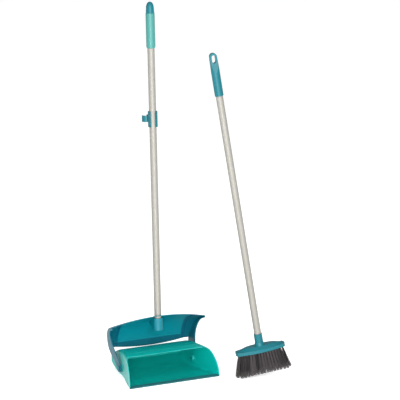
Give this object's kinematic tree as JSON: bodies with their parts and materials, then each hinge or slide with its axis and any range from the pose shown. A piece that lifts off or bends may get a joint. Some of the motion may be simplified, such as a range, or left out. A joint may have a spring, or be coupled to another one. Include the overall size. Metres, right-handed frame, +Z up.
{
  "type": "dust pan and brush set",
  "caption": "Upright dust pan with a swing lid on a long handle and a snap clip, with its long-handled broom standing beside it.",
  "frame": {"origin": "on the floor at the middle of the pan's flat base", "axes": "+X to the pan's right, -Y out of the pan's mouth, +Z up"},
  "size_m": [0.4536, 0.2701, 0.9999],
  "materials": {
    "pan_plastic": "satin moulded polypropylene, turquoise",
    "lid_plastic": "satin moulded polypropylene, dark teal",
    "grip_plastic": "soft satin, light turquoise",
    "lip_rubber": "soft matt rubber",
    "tube_metal": "satin champagne-grey coated tube",
    "inner_plastic": "plain black",
    "steel": "zinc plated",
    "bristle": "dark synthetic bristles with paler tips"
  },
  "bodies": {
    "pan": {"pan_body": "pan_plastic", "floor_lip": "lip_rubber", "left_pivot_pin": "lid_plastic", "right_pivot_pin": "lid_plastic"},
    "handle": {"lid": "lid_plastic", "dustpan_tube": "tube_metal", "dustpan_tube_plug": "inner_plastic", "socket_screw": "steel", "dustpan_grip": "grip_plastic", "dustpan_hang_cap": "lid_plastic"},
    "clip": {"storage_clip": "lid_plastic"},
    "broom": {"broom_head": "lid_plastic", "bristle_row_1": "bristle", "bristle_row_2": "bristle", "bristle_row_3": "bristle", "bristle_row_4": "bristle", "tuft_staples": "steel"},
    "broom_handle": {"broom_tube": "tube_metal", "broom_thread_end": "inner_plastic", "broom_hang_cap": "lid_plastic"}
  },
  "joints": [
    {"name": "handle_tilt", "type": "hinge", "parent": "pan", "child": "handle", "pos_m": [0, 0.019, 0.023], "axis": [1, 0, 0], "range_deg": [0, 90]},
    {"name": "clip_turn", "type": "hinge", "parent": "handle", "child": "clip", "pos_m": [0, 0.04235, 0.69], "axis": [0, 0.0506, 0.9987], "continuous": true},
    {"name": "broom_lift", "type": "slide", "parent": "pan", "child": "broom", "axis": [0, 0, 1], "range_m": [0, 0.3]},
    {"name": "broom_handle_unscrew", "type": "hinge", "parent": "broom", "child": "broom_handle", "pos_m": [0.22324, -0.13744, 0.11993], "axis": [-0.1575, 0.0364, 0.9869], "range_deg": [0, 1800]}
  ]
}
